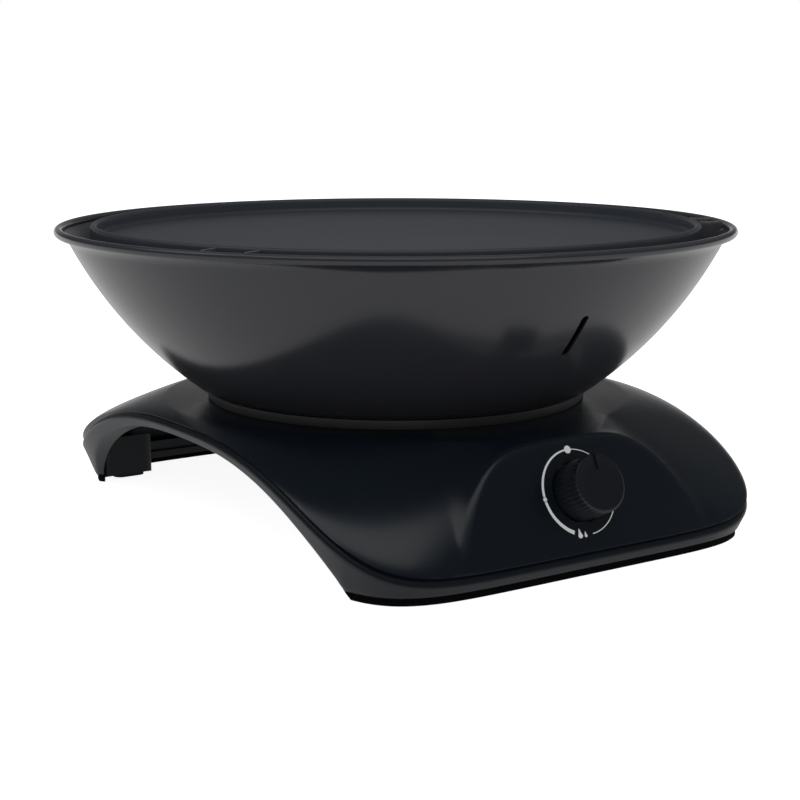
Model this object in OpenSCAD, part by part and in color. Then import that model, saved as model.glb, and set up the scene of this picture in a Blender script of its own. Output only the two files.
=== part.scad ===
// Tabletop gas grill: a round bowl with a lift-off grill plate on a bridge-shaped base.
// Millimetres, +Z up, front towards -Y, origin on the table under the bowl's axis.

/* [Base] */
// Half width of the base, left to right
base_half_w = 170.5; // [164:0.5:178]
// Half depth of the base, front to back
base_half_d = 216; // [208:1:224]
// Squareness of the base outline seen from above
base_square = 6; // [5.2:0.1:6.8]
// Height of the flat top that carries the bowl
base_top_z = 80.5; // [78:0.5:84]
// Radius of the flat top
base_flat_r = 160; // [154:1:163]
// Roundness of the shoulders
base_round = 1.25; // [1.1:0.05:1.5]
// Wall of the shell
shell_wall = 3; // [2.5:0.1:3.4]
// Radius of the opening in the shell's top
shell_open_r = 40; // [30:1:60]
// Height of the seam under the shell at the front and rear
seam_front_z = 15.5; // [13:0.5:18]
// Drop of the seam at the crown of the side arches, below the flat top
seam_drop = 3.7; // [2:0.1:5.5]
// Half depth of the seam's arch
seam_half_d = 216; // [210:1:224]
// Width of the dark seam between shell and frame
seam_gap = 1.6; // [1:0.1:2]
// Thickness of the frame's edge band, inwards
band_t = 12; // [10:0.5:15]
// Height of the edge band at the crown of the side arches
band_h = 8.8; // [7.5:0.1:10.5]
// Half depth of the side arches on the table
arch_half_d = 174; // [168:1:180]
// Distance of the corner feet from the middle, to left and right
foot_x = 104; // [100:1:112]
// Height of the rubber pads below the frame
foot_gap = 1.5; // [1:0.1:2.5]
// Radius of the rubber pads' ends
pad_r = 6; // [5:0.5:8]
// Half length of the rubber pads between their round ends
pad_half = 6; // [4:1:10]

/* [Control panel] */
// Lean of the panel back from upright, in degrees
panel_tilt = 26; // [23:0.5:28]
// Half width of the raised console where its flanks would reach the table
console_half_w = 96; // [90:1:102]
// Half width of the panel's flat face at its foot
panel_half_w = 100; // [92:1:104]
// Height of the knob's middle on the panel
knob_z = 49.5; // [47:0.5:51]
// Radius of the knob
knob_r = 18.5; // [17:0.25:19]
// Length of the knob in front of the panel
knob_len = 22.5; // [19:0.5:26]
// Number of grip notches round the knob
knob_notches = 40; // [24:1:60]
// Radius of the hole in the panel
well_r = 20.8; // [20:0.1:22]
// Radius of the printed ring
dial_r = 26.8; // [25:0.2:28]
// How far the knob is pushed in
push_travel = 3; // [2:0.25:3.5]

/* [Bowl] */
// Radius over the rolled rim
bowl_rim_r = 231.5; // [225:0.5:237]
// Height of the middle of the rim bead above the table
bowl_rim_z = 196.8; // [190:0.2:204]
// Radius of the rim bead's section
bead_r = 3; // [2.4:0.1:3.6]
// Sheet thickness of the bowl
bowl_wall = 1.2; // [0.8:0.1:1.6]
// Radius of the bowl's flat bottom
bowl_floor_r = 127; // [125:0.5:131]
// How far the bowl's wall bulges out from straight
bowl_bulge = 7.2; // [5:0.2:9]
// Width of the lighting slot
slot_w = 5; // [4.5:0.1:6]
// Length of the lighting slot up the wall
slot_len = 34; // [26:1:40]
// Height of the middle of the lighting slot
slot_z = 144; // [136:1:150]
// Height of the ring between base and bowl
ring_h = 5; // [4:0.5:8]
// Outer radius of the ring between base and bowl
ring_r = 131; // [126:1:133]

/* [Grill plate] */
// Outer radius of the plate
plate_r = 207.5; // [204:0.5:210]
// Thickness of the plate
plate_t = 4; // [3:0.5:6]
// Height of the plate's rim above its cooking face
plate_rim_h = 9; // [6:0.5:11]
// Width of the plate's rim
plate_rim_w = 4.4; // [3.6:0.2:6]
// How far the plate's rim stands above the bowl's bead
plate_proud = 1.2; // [0:0.2:3]
// Distance between the two fins of a plate support
support_w = 31; // [24:1:40]

/* [Gas] */
// Radius of the burner
burner_r = 58; // [50:1:70]
// Height of the burner above the bowl's floor
burner_lift = 22; // [18:1:30]
// Outer radius of the mixing tube
mix_r = 11; // [10:0.25:12]
// Outer radius of the gas pipes
pipe_r = 3; // [2.5:0.1:3.5]
// Distance of the feed pipe to the right of the middle
feed_x = 75; // [66:1:78]
// Distance of the gas inlet behind the middle
inlet_y = 28; // [20:1:34]
// Radius of the inlet's thread
inlet_r = 6.58; // [6:0.01:7.5]
// Length of the inlet's free thread
inlet_len = 13; // [10:0.5:16]

/* [Hidden] */
$fn = 96;
fit_gap = 0.1;
run_gap = 0.05;
hole_gap = 0.3;
seat_gap = 0.3;
steel_t = 1.5;
eps = 0.01;

seam_h = base_top_z - seam_drop;
seam_square = 2.8;
seam_fall = 1.25;
arch_h = seam_h - band_h;
seam_lip_w = 1.7;
seam_step = 3.5;
tongue_in = 7;
tongue_w = 1.6;
tongue_rise = 2.5;
tongue_from = base_half_d - 19;
tongue_ramp = 10;
valve_room = 0.8;
pad_edge = 5;
shell_lip_w = shell_wall - 0.4;
edge_soft = 6;
console_soft = 20;
console_square = 4;
console_fall = 0.77;
panel_fade = 0.6;
front_at = -90;
front_span = 64;
front_step = 2;
rest_step = 4;
rows = 14;
row_power = 1.4;
outline_steps = 160;
profile_step = 4;

shield_t = 1;
shield_r = ring_r - 1;
shield_hole_r = mix_r + 5;
bowl_floor_z = base_top_z + shield_t + ring_h;
bowl_in_z = bowl_floor_z + bowl_wall;
bowl_hole_r = mix_r + 3;
rim_room = 23.5;
// Where the plate would come too near the rim, the bowl and the plate give way by half each
crowding = max(plate_r + rim_room - bowl_rim_r, 0);
rim_r = bowl_rim_r + crowding / 2;
dish_r = plate_r - crowding / 2;
bead_at = [rim_r - bead_r, bowl_rim_z];
floor_lead = [6.3, 0];
lip_lead = [2.1, 3.4];
wall_foot = [bowl_floor_r + 13.5, bowl_floor_z + 5.7];
wall_head = [rim_r - 10.1, bowl_rim_z - 8.2];
wall_steps = 20;
ring_w = 22;

bowl_screw_at = ring_r - ring_w / 2;
bowl_screw_r = 2.4;
bowl_nut_af = 8;
bowl_nut_h = 4;
burner_nut_h = 3;
screw_over = 0.4;

lug_x = base_half_w - 26;
lug_y = 35;
lug_t = 3.5;
lug_w = 16;
boss_h = 6;
boss_r = 5;
boss_sink = 1.5;
lug_top = base_top_z - shell_wall - boss_h;
frame_screw_r = 1.7;

plate_top = bowl_rim_z + bead_r + plate_proud;
plate_face = plate_top - plate_rim_h;
plate_under = plate_face - plate_t;
support_top = plate_under - seat_gap;
support_angles = [-150, -30, 90];
support_reach = 11;
support_depth = 20;
support_nose = 3;
fin_room = 0.8;
ear_gap = 1.6;
ear_top = plate_top - 1.2;

panel_foot_y = -base_half_d;
panel_foot_z = seam_z(base_half_d);
knob_at = [0, panel_foot_y + (knob_z - panel_foot_z) * tan(panel_tilt), knob_z];
panel_out = [0, -cos(panel_tilt), sin(panel_tilt)];
panel_up = [0, sin(panel_tilt), cos(panel_tilt)];
plate_gap = shell_wall + 5;
valve_plate_t = 1.6;
valve_plate_r = 34;
valve_plate_back = plate_gap + valve_plate_t;
panel_boss_at = 29;
panel_boss_r = 4;
panel_screw_r = 1.25;
panel_screw_grip = 4;
neck_r = 6.5;
neck_top = 3.5;
valve_nut_h = 3.5;
stem_r = 4;
valve_r = 11;
valve_bore_r = 7;
valve_shoulder = 14;
valve_end = 42;
valve_cap_t = 2.5;
plug_top = 28;
collar_t = 1.7;
collar_r = 6.4;
tongue = [8, 2.6];
tongue_end = plug_top + 6;
stub_r = 5;
stub_len = 18;
gas_r = 2;
outlet_at = 34;
inlet_port_at = 26;

well_wall = 1.1;
knob_back = 2.4;
knob_cavity_r = knob_r - 3;
knob_cavity = 7;
knob_boss_r = 7.5;
knob_boss_at = 0.5;
stem_reach = 12.5;
press_gap = 0.02;
notch_r = 0.8;
notch_out = 0.25;
pointer_w = 2.4;
pointer_t = 1.2;
print_t = 0.25;
print_gap = 0.02;
dot_r = 2.4;
small_dot_r = 1.1;
big_flame = 1.7;
small_flame = 1.05;

pipe_bend_r = 12;
outlet_end = knob_at - outlet_at * panel_out + stub_len * panel_up;
bend_at = [outlet_end[1], outlet_end[2]] + pipe_bend_r * [cos(panel_tilt), -sin(panel_tilt)];
pipe_z = bend_at[1] + pipe_bend_r;
inlet_port = knob_at - inlet_port_at * panel_out;
feed_bend_r = 15;

holder_r = mix_r - 1.4;
holder_arm = 22;
holder_arm_r = 6;
jet_seat = pipe_z + 12;
jet_len = 7;
mix_wall = 1.3;
mix_low = pipe_z + 6;
burner_z = bowl_in_z + burner_lift;
burner_h = 14;
burner_wall = 1.2;
cap_skirt = 2.3;
cap_skirt_h = 6;
cap_edge_h = 1.2;
cap_bevel = 2;
cap_crown = 4;
port_r = 1.4;
port_in = 11;
mix_top = burner_z + 6;
port_count = 28;
strap_w = 2 * mix_r + 8;
strap_half = burner_r + 12;
strap_foot = 16;

pipe_nut_af = 13;
nut_grip = 6;
nut_over = 3;

inlet_plate_x = feed_x + 17;
inlet_nut_h = 5;
inlet_nut_af = 19;
inlet_block = 17;
inlet_back = inlet_block / 2 + nut_grip + seat_gap;
inlet_shoulder_r = inlet_r + 1.42;
inlet_shank_r = inlet_r + 0.42;
bracket_half = 14;
bracket_reach = 20;
bracket_screw_r = 1.5;
bracket_screw_x = inlet_plate_x + 11;
bracket_screw_y = 8;

spring_r = 5.3;
spring_wire = 0.4;
spring_turns = 5;

shell_black = [0.07, 0.075, 0.085];
bowl_grey = [0.27, 0.27, 0.28];
plate_grey = [0.2, 0.21, 0.22];
steel_grey = [0.62, 0.63, 0.65];
brass = [0.72, 0.58, 0.3];
pipe_grey = [0.75, 0.76, 0.77];

// Smooth minimum and maximum, rounded over a height of k
function smin(a, b, k) = let (h = max(k - abs(a - b), 0) / k) min(a, b) - h * h * k / 4;
function smax(a, b, k) = -smin(-a, -b, k);

// Base outline seen from above: radius at an angle, drawn in by an inset
function outline_r(phi, inset = 0) =
    pow(pow(abs(cos(phi)) / (base_half_w - inset), base_square)
        + pow(abs(sin(phi)) / (base_half_d - inset), base_square), -1 / base_square);
// Depth of the outline at a distance to the side
function edge_y(x) =
    base_half_d * pow(max(1 - pow(abs(x) / base_half_w, base_square), 0), 1 / base_square);
// Outward direction of the outline at a point on it
function edge_out(p) =
    let (gx = sign(p[0]) * pow(abs(p[0]) / base_half_w, base_square - 1) / base_half_w,
         gy = sign(p[1]) * pow(abs(p[1]) / base_half_d, base_square - 1) / base_half_d)
    [gx, gy] / norm([gx, gy]);

// Heights of the seam, the side arches and the shell's top
function seam_z(y) =
    seam_front_z + (seam_h - seam_front_z)
        * pow(max(1 - pow(abs(y) / seam_half_d, seam_square), 0), seam_fall);
function ledge_z(y) = seam_z(y) - seam_gap - seam_step;
function tongue_z(y) =
    let (share = min(max((abs(y) - tongue_from) / tongue_ramp, 0), 1))
    ledge_z(y) + share * (tongue_rise + seam_gap + seam_step);
function arch_z(y) = arch_h * sqrt(max(1 - pow(y / arch_half_d, 2), 0));
function dome_z(x, y) =
    let (phi = atan2(y, x), edge = outline_r(phi), low = seam_z(edge * sin(phi)),
         t = min(max((edge - norm([x, y])) / (edge - base_flat_r), 0), 1))
    low + (base_top_z - low) * pow(1 - pow(1 - t, base_round), 1 / base_round);
function panel_z(x, y) =
    panel_foot_z + (edge_y(x) + y) / tan(panel_tilt) + panel_fade * max(abs(x) - panel_half_w, 0);
function console_z(x, y) =
    let (flank = base_top_z * pow(max(1 - pow(abs(x) / console_half_w, console_square), 0), console_fall))
    min(smax(dome_z(x, y), flank, console_soft), base_top_z);
function top_z(x, y) =
    y < 0 ? smin(console_z(x, y), panel_z(x, y), edge_soft) : dome_z(x, y);
function top_normal(x, y) =
    let (e = 0.4, dx = (top_z(x + e, y) - top_z(x - e, y)) / (2 * e),
         dy = (top_z(x, y + e) - top_z(x, y - e)) / (2 * e), n = [-dx, -dy, 1])
    n / norm(n);

// The shell's rings of points, from its outer edge over the top and back along the inside
shell_angles = [
    for (a = [front_at - front_span / 2 : front_step : front_at + front_span / 2 - eps]) a,
    for (a = [front_at + front_span / 2 : rest_step : front_at + 360 - front_span / 2 - eps]) a
];
function at_angle(a, r) = [r * cos(a), r * sin(a)];
function row_at(a, j) =
    at_angle(a, outline_r(a) + (base_flat_r - outline_r(a)) * pow(j / rows, row_power));
function outer_point(a, j) =
    let (p = row_at(a, j)) [p[0], p[1], j == 0 ? seam_z(p[1]) : top_z(p[0], p[1])];
function inner_point(a, j) =
    let (p = outer_point(a, j)) p - shell_wall * top_normal(p[0], p[1]);
function edge_point(a, depth) =
    let (p = row_at(a, 0), q = p - depth * edge_out(p)) [q[0], q[1], seam_z(q[1])];
function wall_point(a) =
    let (q = edge_point(a, shell_wall)) [q[0], q[1], min(q[2], inner_point(a, 1)[2])];
function open_point(a, z) = let (p = at_angle(a, shell_open_r)) [p[0], p[1], z];
shell_rings = concat(
    [for (j = [0 : rows]) [for (a = shell_angles) outer_point(a, j)]],
    [[for (a = shell_angles) open_point(a, base_top_z)]],
    [[for (a = shell_angles) open_point(a, base_top_z - shell_wall)]],
    [for (j = [rows : -1 : 1]) [for (a = shell_angles) inner_point(a, j)]],
    [[for (a = shell_angles) wall_point(a)]],
    [[for (a = shell_angles) edge_point(a, shell_lip_w)]]
);

// A closed skin over rings of points; with loop the last ring joins the first, else ends are capped
module ring_skin(rings, loop) {
    n = len(rings[0]);
    m = len(rings);
    spans = loop ? m : m - 1;
    sides = [
        for (j = [0 : spans - 1], i = [0 : n - 1])
            let (a = j * n + i, b = j * n + (i + 1) % n, c = ((j + 1) % m) * n + i,
                 d = ((j + 1) % m) * n + (i + 1) % n)
            each [[a, c, d], [a, d, b]]
    ];
    caps = loop ? [] : [[for (i = [0 : n - 1]) i], [for (i = [n - 1 : -1 : 0]) (m - 1) * n + i]];
    polyhedron([for (r = rings) each r], concat(sides, caps), convexity = 8);
}

// Shared small shapes
module tube(r_out, r_in, h) {
    difference() {
        cylinder(r = r_out, h = h);
        translate([0, 0, -eps]) cylinder(r = r_in, h = h + 2 * eps);
    }
}
module hexagon(across, h) { cylinder(r = across / sqrt(3), h = h, $fn = 6); }
module nut(across, bore_r, h) {
    difference() {
        hexagon(across, h);
        translate([0, 0, -eps]) cylinder(r = bore_r, h = h + 2 * eps);
    }
}
// A pan-head screw: head above z = 0, shank below
module screw(shank_r, shank_len) {
    head_r = 2 * shank_r;
    head_h = 1.15 * shank_r;
    translate([0, 0, -shank_len]) cylinder(r = shank_r, h = shank_len + eps);
    difference() {
        cylinder(r = head_r, h = head_h);
        translate([0, 0, head_h * 0.55])
            for (turn = [0, 90]) rotate(turn)
                translate([-head_r * 0.6, -head_r * 0.12, 0]) cube([head_r * 1.2, head_r * 0.24, head_h]);
    }
}
module on_panel(w = 0) {
    translate(knob_at) rotate([90 - panel_tilt, 0, 0]) translate([0, 0, w]) children();
}
module around(count, r, start = 0) {
    for (k = [0 : count - 1]) rotate(start + k * 360 / count) translate([r, 0, 0]) children();
}
module four_corners(x, y) { for (sx = [-1, 1], sy = [-1, 1]) translate([sx * x, sy * y, 0]) children(); }
module bracket_places() {
    for (s = [-1, 1]) translate([bracket_screw_x, inlet_y + s * bracket_screw_y, 0]) children();
}

// Base
module base_shell() {
    color(shell_black) difference() {
        union() {
            ring_skin(shell_rings, true);
            four_corners(lug_x, lug_y) translate([0, 0, lug_top])
                cylinder(r = boss_r, h = boss_h + boss_sink);
            bracket_places() translate([0, 0, base_top_z - shell_wall - boss_h + boss_sink])
                cylinder(r = panel_boss_r, h = boss_h);
            on_panel(-plate_gap) around(3, panel_boss_at, 90)
                cylinder(r = panel_boss_r, h = plate_gap - shell_wall / 2);
        }
        on_panel(-shell_wall - 2) cylinder(r = well_r, h = shell_wall + 4);
        around(4, bowl_screw_at, 45) translate([0, 0, base_top_z - shell_wall - 1])
            cylinder(r = bowl_screw_r + hole_gap, h = shell_wall + 2);
        four_corners(lug_x, lug_y) translate([0, 0, lug_top - eps])
            cylinder(r = frame_screw_r + run_gap, h = boss_h);
        bracket_places() translate([0, 0, base_top_z - shell_wall - boss_h])
            cylinder(r = bracket_screw_r + run_gap, h = boss_h);
        on_panel(-plate_gap - eps) around(3, panel_boss_at, 90)
            cylinder(r = panel_screw_r + run_gap, h = panel_screw_grip + 0.5);
    }
}

// The outline as a prism and as a ring, and the side view from the arch up to a list of heights as a prism
module outline_prism(inset, h) {
    linear_extrude(h) polygon([
        for (i = [0 : outline_steps - 1])
            let (a = i * 360 / outline_steps)
            at_angle(a, outline_r(a, inset))
    ]);
}
module outline_ring(inset, width) {
    difference() {
        outline_prism(inset, base_top_z);
        translate([0, 0, -1]) outline_prism(inset + width, base_top_z + 2);
    }
}
profile_reach = base_half_d + 2;
profile_ys = [for (y = [-profile_reach : profile_step : profile_reach]) y];
module side_prism(heights) {
    ys = profile_ys;
    over = [for (i = [0 : len(ys) - 1]) [ys[i], heights[i]]];
    under = [for (i = [len(ys) - 1 : -1 : 0]) [ys[i], max(foot_gap, arch_z(ys[i]))]];
    rotate([90, 0, 90]) translate([0, 0, -base_half_w - 1])
        linear_extrude(2 * base_half_w + 2) polygon(concat(over, under));
}
module pad_places() {
    four_corners(foot_x + pad_edge + pad_half + pad_r, arch_half_d + pad_edge + pad_r) children();
}
module pad_outline(grow, h) {
    for (s = [-1, 1]) translate([s * pad_half, 0, 0]) cylinder(r = pad_r + grow, h = h);
    translate([-pad_half, -pad_r - grow, 0]) cube([2 * pad_half, 2 * (pad_r + grow), h]);
}
module base_frame() {
    foot_d = base_half_d - arch_half_d;
    color(shell_black) difference() {
        union() {
            intersection() {
                outline_ring(0, band_t);
                side_prism([for (y = profile_ys) ledge_z(y)]);
            }
            intersection() {
                outline_ring(0, seam_lip_w);
                side_prism([for (y = profile_ys) seam_z(y) - seam_gap]);
            }
            intersection() {
                outline_ring(tongue_in, tongue_w);
                side_prism([for (y = profile_ys) tongue_z(y)]);
            }
            intersection() {
                outline_prism(band_t - 1, base_top_z);
                side_prism([for (y = profile_ys) ledge_z(y)]);
                for (sx = [0, 1], sy = [0, 1]) mirror([sx, 0, 0]) mirror([0, sy, 0])
                    translate([foot_x, arch_half_d, 0]) cube([base_half_w - foot_x, foot_d, base_top_z]);
            }
            for (sx = [0, 1], sy = [-1, 1]) mirror([sx, 0, 0])
                translate([lug_x - lug_w / 2, sy * lug_y - lug_w / 2, lug_top - lug_t])
                    cube([base_half_w - band_t + 1 - lug_x + lug_w / 2, lug_w, lug_t]);
        }
        four_corners(lug_x, lug_y) translate([0, 0, lug_top - lug_t - 1])
            cylinder(r = frame_screw_r + hole_gap, h = lug_t + 2);
        pad_places() translate([0, 0, foot_gap - 1]) pad_outline(fit_gap, foot_gap + 1);
        on_panel(-valve_plate_back - valve_room)
            cylinder(r = valve_plate_r + valve_room, h = valve_plate_t + 2 * valve_room);
    }
}
module foot_pads() {
    color([0.03, 0.03, 0.03]) pad_places() pad_outline(0, 2 * foot_gap);
}
module frame_screws() {
    color(steel_grey) four_corners(lug_x, lug_y) translate([0, 0, lug_top - lug_t])
        mirror([0, 0, 1]) screw(frame_screw_r, lug_t + boss_h - 1);
}

// Bowl and what holds it
function bezier(p, q, r, n) =
    [for (i = [0 : n]) let (t = i / n) (1 - t) * (1 - t) * p + 2 * t * (1 - t) * q + t * t * r];
wall_run = wall_head - wall_foot;
wall_out = [wall_run[1], -wall_run[0]] / norm(wall_run);
function wall_point_at(t) = wall_foot + t * wall_run + 4 * bowl_bulge * t * (1 - t) * wall_out;
bowl_outer = concat(
    [[bowl_hole_r, bowl_floor_z]],
    bezier([bowl_floor_r, bowl_floor_z], [bowl_floor_r, bowl_floor_z] + floor_lead, wall_foot, 6),
    [for (i = [1 : wall_steps]) wall_point_at(i / wall_steps)],
    [for (p = bezier(wall_head, wall_head + lip_lead, bead_at + [-1.4, -2.4], 6)) if (p != wall_head) p]
);
function path_normal(path, i) =
    let (a = path[max(i - 1, 0)], b = path[min(i + 1, len(path) - 1)], d = (b - a) / norm(b - a))
    [-d[1], d[0]];
bowl_inner = [for (i = [0 : len(bowl_outer) - 1]) bowl_outer[i] + bowl_wall * path_normal(bowl_outer, i)];
// Radius of the bowl's inside at a height above its floor
function bowl_in_r(z) =
    lookup(z, [for (i = [2 : len(bowl_inner) - 1]) [bowl_inner[i][1], bowl_inner[i][0]]]);
// Place on the wall at a height, and the wall's slope there
function wall_t(z) = lookup(z, [for (i = [0 : 40]) [wall_point_at(i / 40)[1], i / 40]]);
slot_at = wall_point_at(wall_t(slot_z));
slot_run = wall_point_at(wall_t(slot_z) + 0.05) - slot_at;
slot_slope = atan2(slot_run[1], slot_run[0]);
slot_half = (slot_len - slot_w) / 2;
slot_cut = 16;

module bowl() {
    color(bowl_grey) difference() {
        rotate_extrude() {
            polygon(concat(bowl_outer, [for (i = [len(bowl_inner) - 1 : -1 : 0]) bowl_inner[i]]));
            translate(bead_at) circle(r = bead_r);
        }
        rotate(front_at) translate([slot_at[0], 0, slot_at[1]]) rotate([0, 180 - slot_slope, 0])
            translate([0, 0, -slot_cut / 2]) {
                for (s = [-1, 1]) translate([s * slot_half, 0, 0]) cylinder(r = slot_w / 2, h = slot_cut);
                translate([-slot_half, -slot_w / 2, 0]) cube([2 * slot_half, slot_w, slot_cut]);
            }
        around(4, bowl_screw_at, 45) translate([0, 0, bowl_floor_z - 1])
            cylinder(r = bowl_screw_r + hole_gap, h = bowl_wall + 2);
        burner_screw_places() translate([0, 0, bowl_floor_z - 1])
            cylinder(r = bowl_screw_r + hole_gap, h = bowl_wall + 2);
    }
}
module heat_shield() {
    color(steel_grey) translate([0, 0, base_top_z]) difference() {
        tube(shield_r, shield_hole_r, shield_t);
        around(4, bowl_screw_at, 45) translate([0, 0, -1])
            cylinder(r = bowl_screw_r + hole_gap, h = shield_t + 2);
    }
}
module spacer_ring() {
    color([0.1, 0.1, 0.11]) translate([0, 0, base_top_z + shield_t]) difference() {
        tube(ring_r, ring_r - ring_w, ring_h);
        around(4, bowl_screw_at, 45) translate([0, 0, -1])
            cylinder(r = bowl_screw_r + hole_gap, h = ring_h + 2);
    }
}
module bowl_screws() {
    stack = bowl_in_z - (base_top_z - shell_wall) + bowl_nut_h + screw_over;
    color(steel_grey) around(4, bowl_screw_at, 45) translate([0, 0, bowl_in_z])
        screw(bowl_screw_r, stack);
}
module bowl_nuts() {
    color(steel_grey) around(4, bowl_screw_at, 45)
        translate([0, 0, base_top_z - shell_wall - bowl_nut_h])
            nut(bowl_nut_af, bowl_screw_r + run_gap, bowl_nut_h);
}

// Grill plate and its supports
module support_fin() {
    low = support_top - support_depth;
    ear_r = dish_r + ear_gap;
    heights = [for (i = [0 : 8]) low + i * (ear_top - low) / 8];
    edge = [for (z = heights) [min(bowl_in_r(z), rim_r - 2 * bead_r) - fin_room, z]];
    polygon(concat(edge, [
        [ear_r, ear_top], [ear_r, support_top], [dish_r - support_reach, support_top],
        [dish_r - support_reach, support_top - support_nose]
    ]));
}
module plate_supports() {
    color(steel_grey) for (a = support_angles) rotate(a) {
        for (s = [-1, 1]) translate([0, s * (support_w - steel_t) / 2 + steel_t / 2, 0])
            rotate([90, 0, 0]) linear_extrude(steel_t) support_fin();
        translate([dish_r - support_reach, -support_w / 2 + eps, support_top - steel_t])
            cube([support_reach - 1, support_w - 2 * eps, steel_t]);
    }
}
module cooking_plate() {
    lip = plate_rim_w / 2;
    rim = dish_r - plate_rim_w;
    fillet = 3;
    color(plate_grey) rotate_extrude() polygon(concat(
        [[0, plate_under], [rim, plate_under]],
        [for (a = [-90 : 15 : 0]) [dish_r - plate_t, plate_face] + plate_t * [cos(a), sin(a)]],
        [for (a = [0 : 15 : 180]) [dish_r - lip, plate_top - lip] + lip * [cos(a), sin(a)]],
        [for (a = [0 : -15 : -90]) [rim - fillet, plate_face + fillet] + fillet * [cos(a), sin(a)]],
        [[0, plate_face]]
    ));
}

// Burner
module burner_screw_places() {
    for (s = [-1, 1]) translate([s * (strap_half + strap_foot / 2), 0, 0]) children();
}
module burner_bracket() {
    color(steel_grey) difference() {
        union() {
            translate([-strap_half, -strap_w / 2, burner_z - steel_t])
                cube([2 * strap_half, strap_w, steel_t]);
            for (s = [0, 1]) mirror([s, 0, 0]) {
                translate([strap_half - steel_t, -strap_w / 2, bowl_in_z])
                    cube([steel_t, strap_w, burner_lift]);
                translate([strap_half - steel_t, -strap_w / 2, bowl_in_z])
                    cube([strap_foot + steel_t, strap_w, steel_t]);
            }
        }
        translate([0, 0, burner_z - steel_t - 1]) cylinder(r = mix_r + fit_gap, h = steel_t + 2);
        burner_screw_places() translate([0, 0, bowl_in_z - 1])
            cylinder(r = bowl_screw_r + hole_gap, h = steel_t + 2);
    }
}
module burner_screws() {
    reach = steel_t + bowl_wall + burner_nut_h + screw_over;
    color(steel_grey) burner_screw_places() translate([0, 0, bowl_in_z + steel_t])
        screw(bowl_screw_r, reach);
}
module burner_nuts() {
    color(steel_grey) burner_screw_places() translate([0, 0, bowl_floor_z - burner_nut_h])
        nut(bowl_nut_af, bowl_screw_r + run_gap, burner_nut_h);
}
module burner_body() {
    neck_in = mix_r + fit_gap;
    shelf = burner_r - cap_skirt - 2 * fit_gap;
    color(steel_grey) rotate_extrude() polygon([
        [neck_in, burner_z], [shelf, burner_z], [shelf, burner_z + burner_h],
        [shelf - burner_wall, burner_z + burner_h], [shelf - burner_wall, burner_z + burner_wall],
        [neck_in + 2, burner_z + burner_wall], [neck_in + 2, mix_top], [neck_in, mix_top]
    ]);
}
module burner_cap() {
    top = burner_z + burner_h;
    color([0.3, 0.3, 0.31]) difference() {
        rotate_extrude() polygon([
            [0, top], [burner_r - cap_skirt, top], [burner_r - cap_skirt, top - cap_skirt_h],
            [burner_r, top - cap_skirt_h], [burner_r, top + cap_edge_h],
            [burner_r - cap_bevel, top + cap_edge_h + cap_bevel * 0.9], [0, top + cap_crown]
        ]);
        around(port_count, burner_r - port_in) translate([0, 0, top - 1])
            cylinder(r = port_r, h = cap_crown + 2, $fn = 24);
    }
}
module mixing_tube() {
    window = [3 * mix_r, 10, 12];
    color(steel_grey) difference() {
        translate([0, 0, mix_low]) tube(mix_r, mix_r - mix_wall, mix_top - mix_low);
        translate([-window[0] / 2, -window[1] / 2, jet_seat + 1]) cube(window);
    }
}
module jet_holder() {
    color(brass) difference() {
        union() {
            translate([0, 0, pipe_z - 8]) cylinder(r = holder_r, h = jet_seat - pipe_z + 8);
            translate([0, 0, pipe_z]) rotate([90, 0, 0]) cylinder(r = holder_arm_r, h = holder_arm);
        }
        translate([0, 0, pipe_z]) rotate([90, 0, 0]) cylinder(r = gas_r, h = holder_arm + 1);
        translate([0, 0, pipe_z]) cylinder(r = gas_r, h = 40);
    }
}
module jet() {
    color(brass) translate([0, 0, jet_seat]) difference() {
        union() {
            hexagon(8, jet_len - 2);
            cylinder(r = 2.6, h = jet_len);
        }
        translate([0, 0, -1]) cylinder(r = 0.6, h = jet_len + 2, $fn = 24);
    }
}

// Gas pipes
module rod_bend(r, radius, angle) {
    rotate_extrude(angle = angle) translate([radius, 0]) circle(r = r);
}
module burner_rod(r, over) {
    translate([0, bend_at[0], bend_at[1]]) rotate([90, 0, 90]) rotate(90)
        rod_bend(r, pipe_bend_r, 90 - panel_tilt);
    translate([0, bend_at[0], pipe_z]) rotate([-90, 0, 0])
        cylinder(r = r, h = over - bend_at[0] - holder_arm);
}
module burner_pipe() {
    color(pipe_grey) difference() {
        burner_rod(pipe_r, 0);
        burner_rod(gas_r, 1);
    }
}
module feed_rod(r, over) {
    feed_end = inlet_y - inlet_back;
    translate(inlet_port + [stub_len - over, 0, 0]) rotate([0, 90, 0])
        cylinder(r = r, h = feed_x - feed_bend_r - stub_len + over);
    translate(inlet_port + [feed_x - feed_bend_r, feed_bend_r, 0]) rotate(-90) rod_bend(r, feed_bend_r, 90);
    translate(inlet_port + [feed_x, feed_bend_r, 0]) rotate([-90, 0, 0])
        cylinder(r = r, h = feed_end - inlet_port[1] - feed_bend_r + over);
}
module feed_pipe() {
    color(pipe_grey) difference() {
        feed_rod(pipe_r, 0);
        feed_rod(gas_r, 1);
    }
}
// A union nut that clasps the end of a stub at z = 0 and the pipe beyond it
module union_nut(stub) {
    difference() {
        translate([0, 0, -nut_grip]) hexagon(max(pipe_nut_af, 2 * stub + 3), nut_grip + nut_over);
        translate([0, 0, -nut_grip - 1]) cylinder(r = stub + run_gap, h = nut_grip + 1);
        translate([0, 0, -1]) cylinder(r = pipe_r + run_gap, h = nut_over + 2);
    }
}
module pipe_nuts() {
    color(brass) {
        translate(inlet_port + [stub_len, 0, 0]) rotate([0, 90, 0]) union_nut(stub_r);
        translate([0, -holder_arm, pipe_z]) rotate([90, 0, 0]) union_nut(holder_arm_r);
        translate([feed_x, inlet_y - inlet_back, inlet_port[2]]) rotate([90, 0, 0]) union_nut(stub_r);
    }
}

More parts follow.
